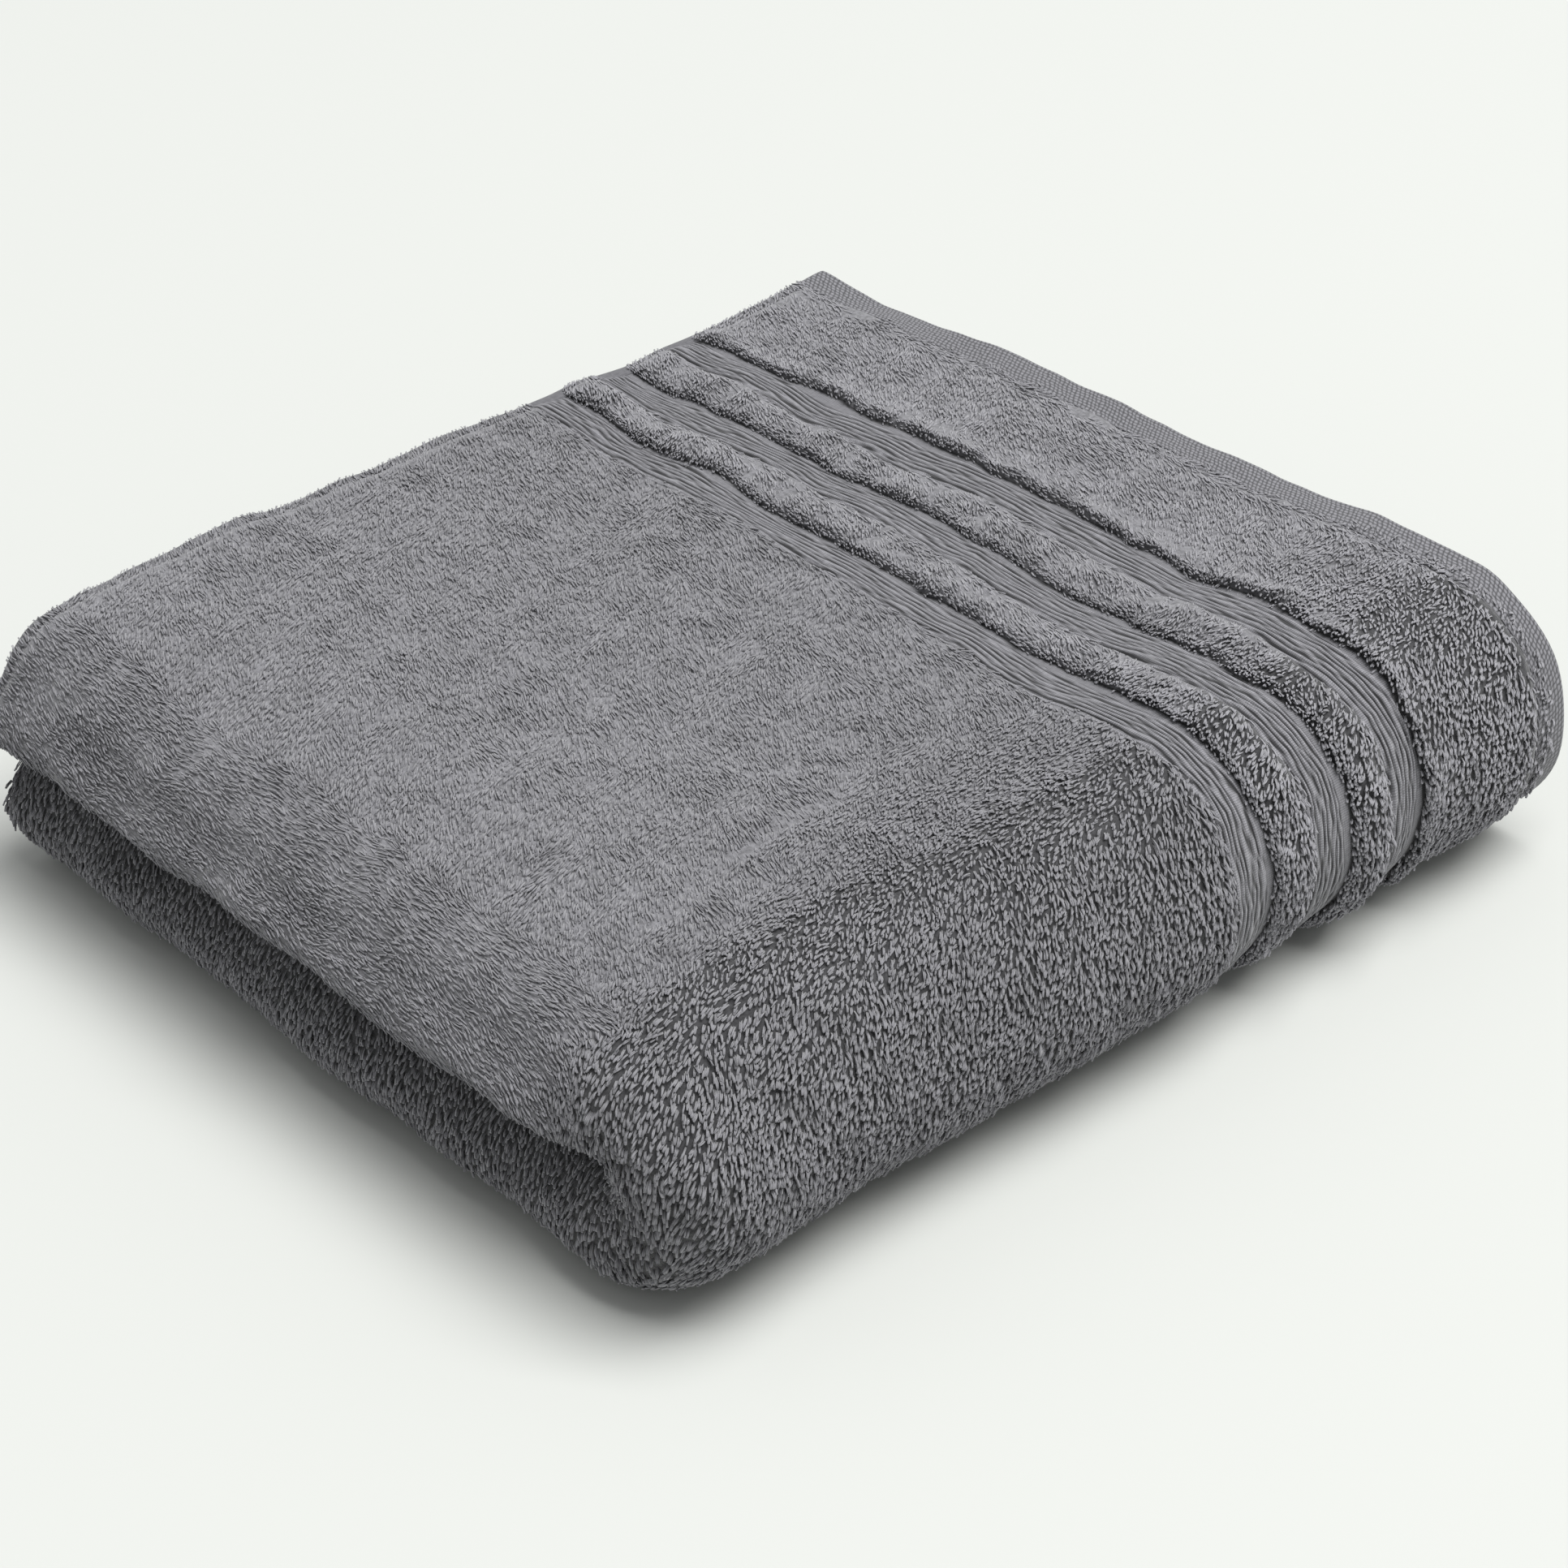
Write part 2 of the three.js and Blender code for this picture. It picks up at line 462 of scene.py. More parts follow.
def terry_material(name, tone, root=0.35, relief=0.0):
    """Looped cotton yarn: faded in soft patches, and darker where its mesh says so, down to root: painted
    shade at the roots of loops and between them, with some random tone. relief adds the tufts and gaps of
    loops that aren't modelled one by one, the gaps as painted shade."""
    mat, tree, shader = new_material(name, sheen=0.35)
    coords = tree.nodes.new("ShaderNodeTexCoord").outputs["Object"]
    patches = noise(tree, coords, 26.0, 4.0)
    fibres = noise(tree, coords, 1400.0, 2.0)
    faded = ramp(tree, patches, [(0.3, GREY * tone * 0.97), (0.7, GREY * tone * 1.03)])
    fuzz = ramp(tree, fibres, [(0.3, level(0.9)), (0.7, level(1.0))])
    shade = node(tree, "ShaderNodeAttribute", attribute_name="shade").outputs["Fac"]
    painted_depth = ramp(tree, shade, [(0.0, level(root)), (1.0, level(1.0))])
    colour = multiplied(tree, multiplied(tree, faded, fuzz), painted_depth)
    if relief:
        tufts = noise(tree, coords, 620.0, 3.0)
        # painted shade in the gaps between the unmodelled tufts
        gaps = ramp(tree, tufts, [(0.35, level(0.62)), (0.62, level(1.15))])
        colour = multiplied(tree, colour, gaps)
        emboss(tree, shader, tufts, relief, 1.0 * MM)
    tree.links.new(colour, shader.inputs["Base Color"])
    return mat


def weave_material(name, tone, warp, weft, contrast, slant=0.0):
    """Flat weave: warp and weft threads this far apart, with the gaps between them darker by contrast.
    slant turns it into a twill."""
    mat, tree, shader = new_material(name, sheen=0.2)
    place = node(tree, "ShaderNodeAttribute", attribute_name="place").outputs["Vector"]
    apart = tree.nodes.new("ShaderNodeSeparateXYZ")
    tree.links.new(place, apart.inputs[0])
    shift = math_node(tree, "MULTIPLY", noise(tree, place, 260.0, 2.0), 0.9)
    x = math_node(tree, "ADD", math_node(tree, "DIVIDE", apart.outputs[0], warp), shift)
    y = math_node(tree, "ADD", math_node(tree, "DIVIDE", apart.outputs[1], weft), shift)
    if slant:
        x = math_node(tree, "ADD", x, math_node(tree, "MULTIPLY", y, slant))
    threads = []
    for v in (x, y):
        wave = math_node(tree, "SINE", math_node(tree, "MULTIPLY", v, math.pi))
        threads.append(math_node(tree, "ABSOLUTE", wave))
    over = math_node(tree, "MULTIPLY", *threads)
    mottle = noise(tree, place, 700.0, 3.0)
    weave = ramp(tree, over, [(0.0, GREY * tone * (1 - contrast)), (0.75, GREY * tone)])
    uneven = ramp(tree, mottle, [(0.3, level(0.72)), (0.7, level(1.0))])
    # painted shade from the mesh: the grooves between the ribs and the strip under the terry's edge
    shade = node(tree, "ShaderNodeAttribute", attribute_name="shade").outputs["Fac"]
    painted_depth = ramp(tree, shade, [(0.0, level(0.10)), (1.0, level(1.0))])
    colour = multiplied(tree, multiplied(tree, weave, uneven), painted_depth)
    tree.links.new(colour, shader.inputs["Base Color"])
    emboss(tree, shader, over, 0.25, 0.2 * MM)
    return mat


pile_material = terry_material("terry_loops", 1.0)
# a lighter copy of the loops' material for the terry at the hem end: painted light, where that end catches
# more light
lit_border_material = terry_material("border_loops", 1.25)
# a darker copy of the loops' material for the ground seen between them: painted shade
shaded_foot_material = terry_material("terry_foot", 0.66, root=0.12, relief=0.6)
band_material = weave_material("dobby_weave", 1.22, 0.7 * MM, 0.6 * MM, 0.5)
hem_material = weave_material("hem_canvas", 0.87, 1.7 * MM, 1.4 * MM, 0.75, slant=0.5)
side_material = weave_material("selvedge_weave", 0.62, 0.6 * MM, 0.6 * MM, 0.4)
thread_material = weave_material("sewing_thread", 0.85, 0.3 * MM, 0.35 * MM, 0.4, slant=1.0)


# ---- zones along the cloth
def zone(end, name):
    """Where a zone starts and stops along the cloth."""
    low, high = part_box(f"{end}_{name}_lower")
    if end == "outer":
        return END["outer"] - high.x, END["outer"] - low.x
    return LENGTH - (END["inner"] - low.x), LENGTH - (END["inner"] - high.x)


FOOT = 0.3 * PLY  # from the middle of the cloth to where its loops part
THIN = 0.7 * MM  # the same where it has no loops
BORDERS = {end: {name: zone(end, name) for name in ZONES} for end in ENDS}


def inward(s):
    """Distance from the hem of the nearer end of the cloth."""
    return np.minimum(s, LENGTH - s)


HEM = BORDERS["outer"]["hem"][1]
TERRY = [BORDERS["outer"][name] for name in ZONES if "terry" in name]
FIELD = BORDERS["outer"]["band_3"][1]
SOFT, FULL = 4 * MM, 1 * MM  # the pile rises from this far before a zone's start to this far after it
ROUND = 2.2 * MM  # the rounding where it stops
EDGE_SWAY = 1.2 * MM  # how far the edges of the terry wander to and fro
edge_wave = waves(25, 0.010, 0.045)
lump = waves(27, 0.007, 0.025)


def swayed(s, a):
    """Distance from the hem of the nearer end, bent so that the edges of the terry wander."""
    return inward(s) + EDGE_SWAY * edge_wave(fold(s, a))


def pile_share(s, a):
    """0 where the cloth has no loops and 1 where they have their full height."""
    d = swayed(s, a)
    share = smooth(FIELD - SOFT, FIELD + FULL, d)
    for start, stop in TERRY:
        wall = np.sqrt(1 - np.clip((d - stop + ROUND) / ROUND, 0, 1) ** 2)
        share = np.maximum(share, smooth(start - SOFT, start + FULL, d) * wall)
    return share


# ---- strips of cloth
CLOSEST = 0.3 * MM  # rows of a mesh nearer to the one before than this are left out
TURN_STEPS = 36  # of a mesh round the spine


def thinned(values):
    return values[np.concatenate([[True], np.diff(values) > CLOSEST])]


def grid(start, stop, size, fine=(), fine_size=0.6 * MM, reach=5 * MM):
    """Lengths from start to stop, a size apart, and closer within reach of each place in fine."""
    parts = [np.linspace(start, stop, max(2, int(round((stop - start) / size)) + 1))]
    for place in fine:
        parts.append(np.arange(max(start, place - reach), min(stop, place + reach), fine_size))
    values = np.unique(np.concatenate(parts))
    keep = np.concatenate([[True], np.diff(values) > 0.3 * fine_size])
    keep[-1] = True
    return values[keep]


def across_grid(size):
    """Places across, a size apart on the straight parts and closer to the open edges."""
    width = span(PLY_3)
    straight = grid(0, width, size, (width,), 0.8 * MM, 7 * MM) / width
    turn_round = np.linspace(0, 1, TURN_STEPS)
    return np.concatenate([-straight[::-1][:-1], turn_round[:-1], 1 + straight])


def strip(name, s_list, across, half_thickness, material, nodes, shade=None):
    """A closed strip of cloth over a grid of lengths and places across. half_thickness and shade are
    functions of the two, shade for how light its material is painted, which carries painted light and shade."""
    s, a = (v.ravel() for v in np.meshgrid(s_list, across, indexing="ij"))
    lift = half_thickness(s, a)
    rest = np.concatenate([fold(s, a, lift), fold(s, a, -lift)])
    index = np.arange(len(s)).reshape(len(s_list), len(across))
    under = index + len(s)
    quads = [
        np.stack([index[:-1, :-1], index[:-1, 1:], index[1:, 1:], index[1:, :-1]], -1).reshape(-1, 4),
        np.stack([under[:-1, :-1], under[1:, :-1], under[1:, 1:], under[:-1, 1:]], -1).reshape(-1, 4),
    ]
    rims = (
        (index[0, ::-1], under[0, ::-1]),
        (index[-1], under[-1]),
        (index[:, 0], under[:, 0]),
        (index[::-1, -1], under[::-1, -1]),
    )
    for rim, under_rim in rims:
        quads.append(np.stack([rim[1:], rim[:-1], under_rim[:-1], under_rim[1:]], -1)[:, ::-1])
    obj = make_mesh(name, settle(rest), np.concatenate(quads), material)
    values = np.ones(len(s)) if shade is None else shade(s, a)
    store(obj, "shade", np.concatenate([values, values]))
    width = width_at(a, on_path(s)[1])
    store_place(obj, np.concatenate([s, s]), np.concatenate([width, width]))
    return hold(obj, weights(rest), nodes)


def from_side(s, a):
    """Distance from the open side edge of the cloth."""
    return (1 - past_spine(a)) * span(on_path(s)[1])


# ---- the ground cloth
RUBBED_FROM, RUBBED_TO = AXIS_Y + 0.006, AXIS_Y + 0.055  # where the spine's open pile closes up on top
TAIL_SHIFT = 0.036  # how much nearer to the spine it does so at the tail
HEM_SIDE_PAINTED_LIGHT = (-0.06, 0.08)  # between these two places along the spine, painted light makes the gaps of its pile and the roots of its loops lighter towards the hem end
EDGE_SWELL, EDGE_REACH, RIB_SWELL = 1.3 * MM, 7 * MM, 1.7 * MM  # how far the terry swells beside the bands
SIDES_SHADE, TOP_SHADE, INSIDE_SHADE = 0.1, 0.75, 0.8  # painted shade of the foot of the pile, by how light it is: dark on the sides, lighter on top and inside
UPPER_PAINTED_LIGHT = 0.2  # painted light: how much lighter again where it looks up


def near_spine(p):
    """1 on the rounded spine and near it, 0 over the flat of the towel."""
    back = TAIL_SHIFT * smooth(0.0, -0.13, p[:, 0])
    return 1 - smooth(RUBBED_FROM - 0.3 * back, RUBBED_TO - back, p[:, 1])


def plump(s, a):
    """How far the terry swells: lumpy ribs between the bands, and the edge of the margin."""
    d = swayed(s, a)
    last = TERRY[0][1]
    swell = EDGE_SWELL * np.exp(-(((last - d) / EDGE_REACH) ** 2)) * (d < last)
    for start, stop in TERRY[1:]:
        swell += RIB_SWELL * np.sin(math.pi * np.clip((d - start) / (stop - start), 0, 1)) ** 0.6
    return swell * (1 + 0.45 * lump(fold(s, a)))


def ground_lift(s, a):
    """Half the thickness of the ground cloth with the dense foot of its loops."""
    side = smooth(1 * MM, SIDE_HEM + 2 * MM, from_side(s, a))
    return THIN + (FOOT - THIN + plump(s, a)) * pile_share(s, a) * side


def foot_painted_shade(s, a):
    """The painted light and shade of the foot of the pile: light on top and inside, painted shade between
    the coarse loops of the sides and a painted shadow where a terry zone ends in a little wall."""
    up = facing(s, a)[:, 2]
    upper = smooth(-0.3, 0.5, up) * (a > 1)
    d = swayed(s, a)
    p = fold(s, a)
    # painted shade in the gaps between the coarse loops near the spine
    gaps = near_spine(p) * (1 - 0.8 * np.clip(up, 0, 1) ** 2) * (1 - 0.35 * smooth(*HEM_SIDE_PAINTED_LIGHT, p[:, 0]))
    top = SIDES_SHADE + (TOP_SHADE - SIDES_SHADE + UPPER_PAINTED_LIGHT * upper) * (1 - gaps)
    outside = np.where(a > 1, top, SIDES_SHADE)
    outside = outside + (INSIDE_SHADE - outside) * smooth(WIDE_END - 8 * MM, WIDE_END, s)
    # painted shadow where each terry zone ends in a little wall
    wall_shadow = sum(smooth(stop - 0.9 * MM, stop, d) * (d < stop + 3 * MM) for _, stop in TERRY)
    return outside * (1 - 0.55 * wall_shadow)


edges = [v for name in ZONES for v in BORDERS["outer"][name]]
edges += [LENGTH - v for v in edges]
bends = [*np.arange(WIDE_START, WIDE_END, 2 * MM), *np.arange(TIP_START, TIP_END, 1.2 * MM)]
bends += [*np.arange(TIGHT_START, TIGHT_END, 1.2 * MM)]
rows = grid(1 * MM, LENGTH - 1 * MM, 5 * MM, edges, 0.7 * MM, 4 * MM)
ground = strip(
    "ground_cloth",
    thinned(np.unique(np.concatenate([rows, bends]))),
    across_grid(7 * MM),
    ground_lift,
    shaded_foot_material,
    parts_of("terry_field"),
    foot_painted_shade,
)

# ---- dobby bands
RIBS = 6
RELIEF = 0.8 * MM  # height of its ribs
PLAIN = 0.14  # share of a band's width, on its hem side, that has no ribs
BAND_LOW, BAND_HIGH = 1.8 * MM, FOOT + 0.5 * MM  # half its thickness on the hem side and on the other
BAND_UNDER = (2.4 * MM, 2 * MM)  # how far it reaches under the terry on either side
rib_wobble = waves(31, 0.012, 0.05)
rib_break = waves(32, 0.003, 0.012)


def band_parts(s, a, start, stop):
    """For a place on a band: its share of the way from the hem side, how ribbed it is, and whether it lies
    on a rib (1) or between two (0)."""
    u = (inward(s) - start) / (stop - start)
    p = fold(s, a)
    wobble = rib_wobble(p)
    ribbed = smooth(PLAIN - 0.01, PLAIN + 0.04, u + 0.03 * wobble)
    ribbed = ribbed * smooth(2 * MM, 9 * MM, from_side(s, a) + 2 * MM * wobble)
    phase = (u - PLAIN) / (1 - PLAIN) * RIBS + 0.34 * wobble + 0.28 * rib_break(p)
    return u, ribbed, np.abs(np.sin(math.pi * phase))


def band(end, number):
    """A dobby band: fine ribs along it with painted shade in their grooves, and a plain strip with a painted
    shadow where it goes in under the terry's edge.
    """
    start, stop = BORDERS["outer"][f"band_{number}"]
    near, far = start - BAND_UNDER[0], stop + BAND_UNDER[1]
    rise = BAND_HIGH - BAND_LOW

    def lift(s, a):
        u, ribbed, rib = band_parts(s, a, start, stop)
        body = BAND_LOW + rise * smooth(0, 1, u) - 0.25 * rise * (u > 1)
        edge = smooth(0, SIDE_HEM + 3 * MM, from_side(s, a))
        return (body + RELIEF * ribbed * (rib - 0.6)) * (0.35 + 0.65 * edge)

    def shade(s, a):
        _, ribbed, rib = band_parts(s, a, start, stop)
        # painted shade in the grooves between the ribs, and a painted shadow on the strip under the terry's
        # edge
        painted_depth = 1.4 + 0.4 * rib_break(1.7 * fold(s, a))
        under = (swayed(s, a) - start) / (stop - start)
        light = 1 - painted_depth * ribbed * (1 - rib) ** 0.9 - 0.34 * (1 - ribbed)
        return light - 0.7 * (1 - smooth(0.0, 0.07, under))

    if end == "outer":
        rows = np.linspace(near, far, 150)
    else:
        rows = np.linspace(LENGTH - far, LENGTH - near, 30)
    strip(
        f"{end}_band_{number}",
        rows,
        across_grid(5 * MM),
        lift,
        band_material,
        parts_of(f"{end}_band_{number}"),
        shade,
    )


for end in ENDS:
    for number in (1, 2, 3):
        band(end, number)

# ---- end hems
HEM_HALF = 1.7 * MM  # half its thickness
HEM_ROUND = 1.8 * MM
HEM_UNDER = 1.5 * MM  # how far it reaches under the terry margin


def rounded(distance):
    """The profile of a round edge, this far from it: almost 0 at the edge and 1 from HEM_ROUND on."""
    return np.sqrt(np.clip(1 - (1 - np.clip(distance / HEM_ROUND, 0, 1)) ** 2, 0.02, 1))


def hem_lift(s, a):
    """Half the thickness of an end hem: a folded edge, rounded at the end and at the corners."""
    uneven = 1 + 0.08 * rib_wobble(fold(s, a))
    return HEM_HALF * rounded(inward(s)) * rounded(from_side(s, a)) * uneven


for end in ENDS:
    rows = grid(0, HEM + HEM_UNDER, 1.2 * MM, (HEM_ROUND / 2,), 0.3 * MM, HEM_ROUND / 2)
    strip(
        f"{end}_hem",
        rows if end == "outer" else (LENGTH - rows)[::-1],
        across_grid(3 * MM),
        hem_lift,
        hem_material,
        parts_of(f"{end}_hem"),
    )


# ---- side hems
ROLL_HALF = 2.3 * MM  # half its thickness
RING = 14  # points round it


def side_hem(half):
    """The narrow rolled hem along an open side edge, through all the folds of its half."""
    lengths = thinned(np.unique(np.concatenate([grid(HEM, LENGTH - HEM, 4 * MM), bends])))
    angle = np.linspace(0, 2 * math.pi, RING, endpoint=False)
    s, k = (v.ravel() for v in np.meshgrid(lengths, np.arange(RING), indexing="ij"))
    inset = (SIDE_HEM * (0.5 - 0.5 * fuller(np.cos(angle), 0.7)))[k]
    lift = ROLL_HALF * fuller(np.sin(angle), 0.7)[k]
    reach = 1 - inset / span(on_path(s)[1])
    rest = fold(s, -reach if half == "lower" else 1 + reach, lift)
    index = np.arange(len(s)).reshape(len(lengths), RING)
    a, b = index[:-1], index[1:]
    quads = np.stack([a, np.roll(a, -1, 1), np.roll(b, -1, 1), b], -1).reshape(-1, 4)
    if half == "lower":
        quads = quads[:, ::-1]
    i = np.arange(RING // 2 - 1)
    corners = np.stack([i, i + 1, RING - 2 - i, RING - 1 - i], axis=-1)
    caps = [index[0][corners], index[-1][corners]]
    flip = 0 if half == "upper" else 1
    caps[flip] = caps[flip][:, ::-1]
    obj = make_mesh(f"rolled_side_hem_{half}", settle(rest), np.concatenate([quads, *caps]), side_material)
    store(obj, "shade", np.ones(len(s)))
    store_place(obj, s, lift * 2 + inset)
    return hold(obj, np.full(len(s), 0.0 if half == "lower" else 1.0), [f"side_hem_{half}"])


for half in ("lower", "upper"):
    side_hem(half)


# ---- stitches
STITCH, GAP = 2.6 * MM, 0.5 * MM  # length of a stitch, and the needle's hole between two
THREAD = 0.28 * MM  # half the thickness of the thread
THREAD_SIDES, THREAD_RINGS = 6, 7


def ring_faces(rings, sides):
    """The quads between a tube's rings."""
    for r in range(rings - 1):
        for k in range(sides):
            a, b = r * sides + k, r * sides + (k + 1) % sides
            yield a, b, b + sides, a + sides


def thread_faces(count):
    """The faces of stitches: tubes with flat ends."""
    last = (THREAD_RINGS - 1) * THREAD_SIDES
    faces = [*ring_faces(THREAD_RINGS, THREAD_SIDES)]
    for k in range(THREAD_SIDES // 2 - 1):
        cap = np.array([k, k + 1, THREAD_SIDES - 2 - k, THREAD_SIDES - 1 - k])
        faces += [cap[::-1], last + cap]
    per = THREAD_RINGS * THREAD_SIDES
    return (np.array(faces)[None] + per * np.arange(count)[:, None, None]).reshape(-1, 4)


def stitches(name, starts, stops, facings, nodes):
    """Lockstitches: short arched lengths of thread from starts to stops, standing off the cloth."""
    count = len(starts)
    t = np.linspace(0, 1, THREAD_RINGS)
    rise = np.sin(math.pi * t) ** 0.5 * 0.35 * MM - 0.15 * MM
    way = stops - starts
    size = np.linalg.norm(way, axis=1, keepdims=True)
    way = way / size
    side = np.cross(facings, way)
    centre = starts[:, None] + way[:, None] * (size * t)[:, :, None]
    centre = centre + facings[:, None] * rise[None, :, None]
    thick = THREAD * np.sin(math.pi * np.clip(t, 0.06, 0.94)) ** 0.35
    angle = 2 * math.pi * np.arange(THREAD_SIDES) / THREAD_SIDES
    c, s = np.cos(angle)[:, None], np.sin(angle)[:, None]
    ring = side[:, None, None] * c + facings[:, None, None] * s
    points = (centre[:, :, None] + ring * thick[None, :, None, None]).reshape(-1, 3)
    middle = np.repeat((starts + stops) / 2, THREAD_RINGS * THREAD_SIDES, axis=0)
    obj = make_mesh(name, points + (settle(middle) - middle), thread_faces(count), thread_material)
    store(obj, "shade", np.ones(len(points)))
    along_thread = np.repeat(t * 3 * MM, THREAD_SIDES)
    round_thread = np.tile(angle, THREAD_RINGS) * THREAD
    store_place(obj, np.tile(along_thread, count), np.tile(round_thread, count))
    return hold(obj, weights(middle), nodes)


def hem_stitches(end):
    """The line of stitches that holds an end hem, on the face that looks out of the folded towel."""
    low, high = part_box(f"{end}_hem_stitch_lower")
    d = END[end] - (low.x + high.x) / 2
    line = d if end == "outer" else LENGTH - d
    side = 1 if end == "outer" else -1
    h = on_path(line)[1]
    total = float(width_at(np.array(2.0), h))
    begin = np.arange(4 * MM, total - 4 * MM - STITCH, STITCH + GAP)
    a0, a1 = across_at(begin, h), across_at(begin + STITCH, h)
    lift = side * (HEM_HALF + 0.1 * MM)
    s = np.full(len(begin), line)
    starts, stops = fold(s, a0, lift), fold(s, a1, lift)
    facings = facing(s, (a0 + a1) / 2) * side
    stitches(f"{end}_hem_stitch", starts, stops, facings, parts_of(f"{end}_hem_stitch"))


for end in ENDS:
    hem_stitches(end)


# ---- the pile
STROKE = np.array([-0.6, -0.8, -0.9])  # the way the pile is stroked on top
SPINE_STROKE = np.array([-0.85, 0.04, 0.0])  # what comes to it round the spine
HIDDEN_STROKE = np.array([0, 3, 0])  # and between the plies near an open edge, where loops look outwards
# Fine loops lie flat and close on top, coarse ones stand open on the sides. For each: half the thickness of
# the yarn, a loop's length, width and arch, how light its root is painted (painted shade at the roots of
# coarse loops, a little painted light at those of fine ones), and how much neighbours differ in turn.
FINE = {"yarn": 0.18 * MM, "long": 3.5 * MM, "wide": 0.42 * MM, "arch": 0.06, "root": 1.1, "turn": 0.13}
COARSE = {"yarn": 0.33 * MM, "long": 3.25 * MM, "wide": 0.84 * MM, "arch": 0.42, "root": 0.05, "turn": 0.2}
FLAT_TILT, STEEP_TILT = 1.47, 1.03  # how far loops lean over on top and on the sides
CLUMP = 8 * MM  # how far clumps of coarse loops reach into the flat of the top
LIP_REACH = 10 * MM  # width of the lip over the tail's folds, where loops hang straight
HIDDEN_REACH = 14 * MM  # width along an open edge where loops between the plies look outwards
RINGS, SIDES = 6, 3  # of a loop's yarn
LOOP_RISE = np.sin(math.pi * np.linspace(0, 1, RINGS)) ** 0.75  # height of each ring in a loop
clump_turn, clump_tilt, clump_long = (waves(seed, 0.006, 0.03, 20) for seed in (21, 22, 23))
patch_turn = waves(24, 0.04, 0.12)
tuft = waves(26, 0.005, 0.022, 20)


def unit(v):
    return v / (np.linalg.norm(v, axis=-1, keepdims=True) + 1e-12)


def loop_faces(count):
    """The triangles of loops, with an end cap on either leg."""
    faces = []
    for a, b, c, d in ring_faces(RINGS, SIDES):
        faces += [(a, b, c), (a, c, d)]
    per = RINGS * SIDES
    faces += [(2, 1, 0), (per - 3, per - 2, per - 1)]
    return (np.array(faces)[None] + per * np.arange(count)[:, None, None]).reshape(-1, 3)


def yarn_line(base, axis, normal, kind, long, wide, spin, twist):
    """The middle line of each loop's yarn, up one leg and down the other, and the loop's plane."""
    e1 = unit(np.cross(axis, normal))
    e2 = np.cross(axis, e1)
    u = np.linspace(0, 1, RINGS)
    apart = np.cos(math.pi * u) * (0.62 + 0.38 * np.sin(math.pi * u))
    centre = np.empty((len(base), RINGS, 3))
    for k, t in enumerate(LOOP_RISE):
        arch = (kind["arch"] * (t * (1 - t) + 0.36 * t))[:, None]
        stem = (axis * (0.4 * t + 0.6 * t * t) + normal * arch) * long[:, None]
        angle = spin + twist * t
        e = e1 * np.cos(angle)[:, None] + e2 * np.sin(angle)[:, None]
        centre[:, k] = base + stem + e * (apart[k] * wide / 2)[:, None]
    angle = spin + twist * 0.7
    plane = np.cross(axis, e1 * np.cos(angle)[:, None] + e2 * np.sin(angle)[:, None])
    return centre, plane


def yarn_skin(centre, plane, thick):
    """Points round the middle line of each loop's yarn."""
    tangent = np.empty_like(centre)
    tangent[:, 1:-1] = centre[:, 2:] - centre[:, :-2]
    tangent[:, 0], tangent[:, -1] = centre[:, 1] - centre[:, 0], centre[:, -1] - centre[:, -2]
    tangent = unit(tangent)
    n1 = unit(np.cross(tangent, plane[:, None, :]))
    n2 = np.cross(tangent, n1)
    points = np.empty((len(centre), RINGS, SIDES, 3))
    for k in range(SIDES):
        t = 2 * math.pi * k / SIDES
        points[:, :, k] = centre + (n1 * math.cos(t) + n2 * math.sin(t)) * thick[:, None, None]
    return points.reshape(-1, 3)


